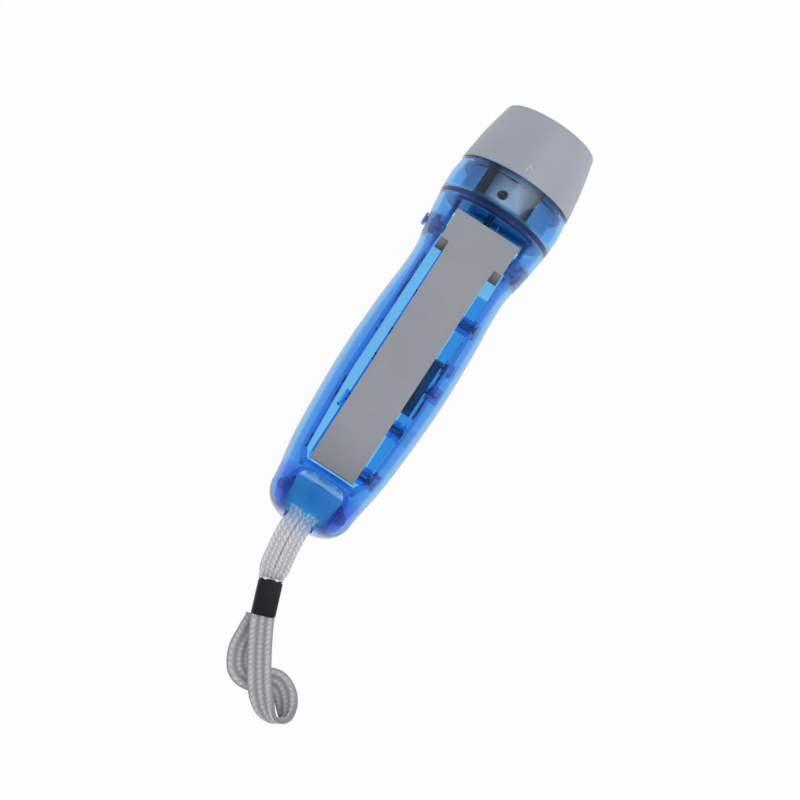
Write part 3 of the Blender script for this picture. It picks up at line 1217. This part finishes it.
def build_spring():
    """Torsion spring round the lever pin: one leg under the lever, one on the bay's front wall."""
    points = []
    count = SPRING_TURNS * SPRING_POINTS_PER_TURN
    for step in range(count + 1):
        turn = 2 * pi * step / SPRING_POINTS_PER_TURN
        points.append(Vector((
            PIVOT_X + SPRING_RADIUS * sin(turn),
            SPRING_NEAR_Y + SPRING_PITCH * step / SPRING_POINTS_PER_TURN,
            AXIS_Z + PIVOT_HEIGHT + SPRING_RADIUS * cos(turn),
        )))
    under_lever = AXIS_Z + LEVER_TOP - LEVER_PLATE - PART_GAP - SPRING_WIRE / 2
    first = Vector((PIVOT_X - SPRING_REAR_LEG, SPRING_NEAR_Y, under_lever))
    last = Vector((BAY_FRONT_X - PART_GAP, points[-1].y, points[-1].z))
    points = [first] + points + [last]
    gap = least_gap(points, SPRING_WIRE, SPRING_POINTS_PER_TURN // 2)
    print("lever_spring: least gap to itself %.2f mm" % (gap / MM))
    tube("lever_spring", points, SPRING_WIRE / 2, "steel", 1)


def build_leads():
    """Two leads from the coil along the case's back and through the bulkhead to the lamp board."""
    coil_bottom = ROTOR[1] - COIL_HALF_HEIGHT - LEAD_DROP
    route = [(LIMB_X + x * SNUG, y * ACROSS, coil_bottom + fall * MM)
             for x, y, fall in LEAD_FROM_COIL]
    post_x, post_height = stator_posts()[1]
    route += [(post_x + x * SNUG, y * ACROSS, post_height + rise * SNUG)
              for x, y, rise in LEAD_ROUND_POST]
    route += [(LIMB_X + x * SNUG, y * ACROSS, height * ACROSS) for x, y, height in LEAD_ALONG_BACK]
    route += [(BULKHEAD_X + x * ALONG, y * ACROSS, height * ACROSS)
              for x, y, height in LEAD_TO_LAMP]
    for index, name in enumerate(("lead_red", "lead_black")):
        points = [Vector((x, y + LEAD_SPACING * index, AXIS_Z + height)) for x, y, height in route]
        tube(name, smooth_route(points, 2), LEAD_RADIUS, name, 1)


def lamp_base_x():
    """Face that the lamps stand on, so far back that their domes clear the lens."""
    return LENS_X - PART_GAP - LAMP_RADIUS - LAMP_BODY - LAMP_RIM_HEIGHT


def lamp_centres():
    turns = [pi / 2 + 2 * pi * index / LAMP_COUNT for index in range(LAMP_COUNT)]
    return [(LAMP_CIRCLE * cos(turn), LAMP_CIRCLE * sin(turn)) for turn in turns]


def along_x(centre, radius, start, end, steps=SMALL_STEPS):
    """Round bar along X at (y, height)."""
    ring = circle(centre, radius, steps)
    return loft([[(x, y, AXIS_Z + height) for y, height in ring] for x in (start, end)])


def build_lamp():
    """Grey housing with its window, white carrier, lamp board and the lamps."""
    bore = HOUSING_RADIUS - HOUSING_WALL
    housing = place(turned([
        (HOUSING_X, LEAD_HOLE_RADIUS * 2), (HOUSING_X, HOUSING_RADIUS),
        (HOUSING_END_X, HOUSING_RADIUS), (HOUSING_END_X, bore),
        (HOUSING_X + HOUSING_WALL, bore), (HOUSING_X + HOUSING_WALL, LEAD_HOLE_RADIUS * 2),
    ]), "lamp_housing", "housing_grey")
    window = box(
        (HOUSING_X + HOUSING_WALL / 2, -HOUSING_WINDOW_RIGHT, HOUSING_WINDOW_FLOOR),
        (HOUSING_END_X - HOUSING_WINDOW_MARGIN, HOUSING_WINDOW_LEFT, HEAD_RADIUS + OVERRUN),
    )
    cut(housing, guide(window, "housing_window"))
    inner = CARRIER_RADIUS - CARRIER_WALL
    face = CARRIER_END_X - CARRIER_WALL
    carrier = place(turned([
        (CARRIER_X, inner), (CARRIER_X, CARRIER_RADIUS), (CARRIER_END_X, CARRIER_RADIUS),
        (CARRIER_END_X, 0.0), (face, 0.0), (face, inner),
    ]), "lamp_carrier", "carrier_white")
    for index, centre in enumerate(lamp_centres()):
        hole = along_x(centre, LAMP_RADIUS + LAMP_BORE_CLEARANCE, face - LAMP_HOLE_INNER,
                       CARRIER_END_X + OVERRUN)
        cut(carrier, guide(hole, "lamp_hole_%d" % (index + 1)))
    peep = prism(circle((CARRIER_X + CARRIER_PEEP_ALONG, CARRIER_PEEP_SIDE), CARRIER_PEEP_RADIUS,
                        SMALL_STEPS), CARRIER_RADIUS / 4, HEAD_RADIUS, "Z")
    cut(carrier, guide(peep, "carrier_peep"))
    split = box((CARRIER_X - OVERRUN, -CARRIER_SPLIT_WIDTH / 2, CARRIER_RADIUS - CARRIER_SPLIT_DEPTH),
                (face, CARRIER_SPLIT_WIDTH / 2, HEAD_RADIUS))
    cut(carrier, guide(split, "carrier_split"))
    half_notch = CARRIER_NOTCH_WIDTH / 2
    for index, side in enumerate(CARRIER_NOTCH_SIDES):
        middle = side * ACROSS
        notch = box((CARRIER_X - OVERRUN, middle - half_notch, 0.0),
                    (CARRIER_X + CARRIER_NOTCH_DEPTH, middle + half_notch, HEAD_RADIUS))
        cut(carrier, guide(notch, "carrier_notch_%d" % (index + 1)))
    base = lamp_base_x()
    board = along_x((0.0, 0.0), inner - PART_GAP, base - BOARD_THICKNESS, base - PART_GAP)
    place(board, "lamp_board", "board_green")
    for index, centre in enumerate(lamp_centres()):
        build_led(index + 1, centre, base)


def build_led(number, centre, base):
    """One lamp: rimmed foot, barrel and domed tip."""
    dome_start = base + LAMP_RIM_HEIGHT + LAMP_BODY
    profile = [(base, LAMP_RADIUS + LAMP_RIM), (base + LAMP_RIM_HEIGHT, LAMP_RADIUS + LAMP_RIM),
               (base + LAMP_RIM_HEIGHT, LAMP_RADIUS), (dome_start, LAMP_RADIUS)]
    for turn in map(radians, LAMP_DOME_TURNS):
        profile.append((dome_start + LAMP_RADIUS * sin(turn), LAMP_RADIUS * cos(turn)))
    rings = [
        [(x, y, AXIS_Z + height) for y, height in circle(centre, radius, PIN_STEPS)]
        for x, radius in profile
    ]
    place(loft(rings), "led_%d" % number, "lamp_clear")


def build_head():
    """Reflector bowl, lens and bezel."""
    throat = REFLECTOR_THROAT_RADIUS
    rim_start = REFLECTOR_END_X - REFLECTOR_RIM
    inner = []
    for step in range(REFLECTOR_STEPS + 1):
        share = step / REFLECTOR_STEPS
        radius = throat + (REFLECTOR_MOUTH_RADIUS - throat) * sqrt(share)
        inner.append((REFLECTOR_X + (REFLECTOR_END_X - REFLECTOR_X) * share, radius))
    outer = [(x, radius + REFLECTOR_WALL) for x, radius in inner if x < rim_start]
    rim = [(rim_start, outer[-1][1]), (rim_start, LENS_RADIUS), (REFLECTOR_END_X, LENS_RADIUS)]
    place(turned(inner + list(reversed(outer + rim))), "reflector", "reflector_chrome")
    front = LENS_X + LENS_THICKNESS
    dome_radius = BEZEL_MOUTH_RADIUS - LENS_DOME
    place(turned([
        (LENS_X, 0.0), (LENS_X, LENS_RADIUS), (front, LENS_RADIUS), (front, dome_radius),
        (front + LENS_DOME * LENS_DOME_SHARE, dome_radius * LENS_DOME_SHARE),
        (front + LENS_DOME, 0.0),
    ]), "lens", "lens_clear")
    bezel = []
    for share, radius in BEZEL_SHARES:
        x = CASE_FRONT_X + PART_GAP + (BEZEL_LENGTH - PART_GAP) * share
        bezel.append((x, HEAD_RADIUS * radius))
    last = bezel[-1][1]
    bezel.append((FRONT_X, last - BEZEL_RIM_ROUND))
    bezel.append((FRONT_X, BEZEL_MOUTH_RADIUS))
    seat = LENS_RADIUS + PART_GAP
    lip_x = FRONT_X - BEZEL_LIP
    rear = NECK_RADIUS + BEZEL_REAR_CLEARANCE
    neck_x = CASE_FRONT_X + NECK_LENGTH + 2 * PART_GAP
    bezel += [
        (lip_x, BEZEL_MOUTH_RADIUS), (lip_x, seat), (rim_start - PART_GAP, seat),
        (max(neck_x, HOUSING_END_X + PART_GAP), HOUSING_RADIUS + PART_GAP),
        (neck_x, HOUSING_RADIUS + PART_GAP), (neck_x, rear), (CASE_FRONT_X + PART_GAP, rear),
    ]
    place(turned(bezel), "bezel", "bezel_grey")


def band(name, route, width_at, thickness, finish_name):
    """Flat braid swept along a route of (x, y, z, lean), the lean turning it on its edge."""
    rings = []
    last = len(route) - 1
    for index, at in enumerate(route):
        ahead = (route[min(index + 1, last)] - route[max(index - 1, 0)]).to_3d().normalized()
        level = Vector((0, 0, 1)).cross(ahead).normalized()
        across = Matrix.Rotation(radians(at[3]), 3, ahead) @ level
        up = ahead.cross(across)
        width = width_at(index / last)
        rings.append([
            at.to_3d() + across * (width / 2 * side) + up * (thickness / 2 * rise)
            for side, rise in braid_section()
        ])
    return place(loft(rings), name, finish_name)


def braid_section():
    """Rounded flat section whose sides lie on a square from -1 to 1."""
    half_step = pi / BRAID_SIDES
    turns = [half_step * (1 + 2 * step) for step in range(BRAID_SIDES)]
    return [(cos(turn) / cos(half_step), sin(turn) / cos(half_step)) for turn in turns]


def neck_width(share):
    """The neck is squeezed where it enters the ferrule."""
    open_share = min(min(share, 1 - share) / NECK_CRIMP_SHARE, 1.0)
    return NECK_CRIMPED_WIDTH + (NECK_WIDTH - NECK_CRIMPED_WIDTH) * open_share


def neck_route():
    """Out of the ferrule beside the middle line, round the post and back on the other side."""
    lane = NECK_WIDTH / 2 + PART_GAP / 4
    crimped = NECK_CRIMPED_WIDTH / 2 + PART_GAP / 4
    middle = [Vector((TAIL_X + x * MM, y * MM, z * ACROSS)) for x, y, z in NECK_ROUTE]
    outward = []
    for index, at in enumerate(middle):
        ahead = middle[min(index + 1, len(middle) - 1)] - middle[max(index - 1, 0)]
        side = Vector((-ahead.y, ahead.x, 0)).normalized()
        offset = crimped if index < NECK_CRIMPED_POINTS else lane
        outward.append((at, side * offset))
    post_x = TAIL_X + STRAP_POST_FROM_TAIL
    bend = STRAP_POST_RADIUS + PART_GAP + NECK_WIDTH / 2
    round_post = [
        Vector((post_x + bend * cos(turn), bend * sin(turn), AXIS_Z))
        for turn in map(radians, NECK_POST_TURNS)
    ]
    points = [at + offset for at, offset in outward] + round_post
    points += [at - offset for at, offset in reversed(outward)]
    return [Vector((*point, 0.0)) for point in points]


def build_strap():
    """Neck strands, ferrule and hand loop."""
    band("strap_neck", smooth_route(neck_route(), 2), neck_width, NECK_THICKNESS, "strap_grey")
    loop = [Vector((TAIL_X + x * MM, y * MM, z * MM, lean)) for x, y, z, lean in LOOP_ROUTE]
    band("strap_loop", smooth_route(loop, 3), lambda share: LOOP_WIDTH, LOOP_THICKNESS, "strap_grey")
    ferrule = bmesh.new()
    bmesh.ops.create_cube(ferrule, size=1.0)
    bmesh.ops.scale(ferrule, vec=(FERRULE_LENGTH, FERRULE_WIDTH, FERRULE_HEIGHT),
                    verts=ferrule.verts)
    lengthwise = [edge for edge in ferrule.edges if edge.verts[0].co.x * edge.verts[1].co.x < 0]
    bmesh.ops.bevel(ferrule, geom=lengthwise, offset=FERRULE_ROUND, segments=2, profile=0.5,
                    affect="EDGES")
    turn = Matrix.Rotation(radians(FERRULE_TURN), 4, "Z")
    seat = Matrix.Translation((TAIL_X - FERRULE_FROM_TAIL, FERRULE_Y, FERRULE_LIFT + FERRULE_HEIGHT / 2))
    bmesh.ops.transform(ferrule, matrix=seat @ turn, verts=ferrule.verts)
    place(ferrule, "strap_ferrule", "ferrule_black")


def main():
    for thing in list(bpy.data.objects):
        bpy.data.objects.remove(thing)
    build_case()
    build_slider()
    build_screws()
    lever_body = joint_empty("lever_carrier", PIVOT)
    build_lever(lever_body)
    build_sector(lever_body)
    build_pins()
    build_drive(joint_empty("drive_carrier", DRIVE))
    build_clutch(joint_empty("clutch_carrier", CLUTCH))
    build_rotor(joint_empty("rotor_carrier", ROTOR))
    build_coil()
    build_spring()
    build_leads()
    build_lamp()
    build_head()
    build_strap()


main()
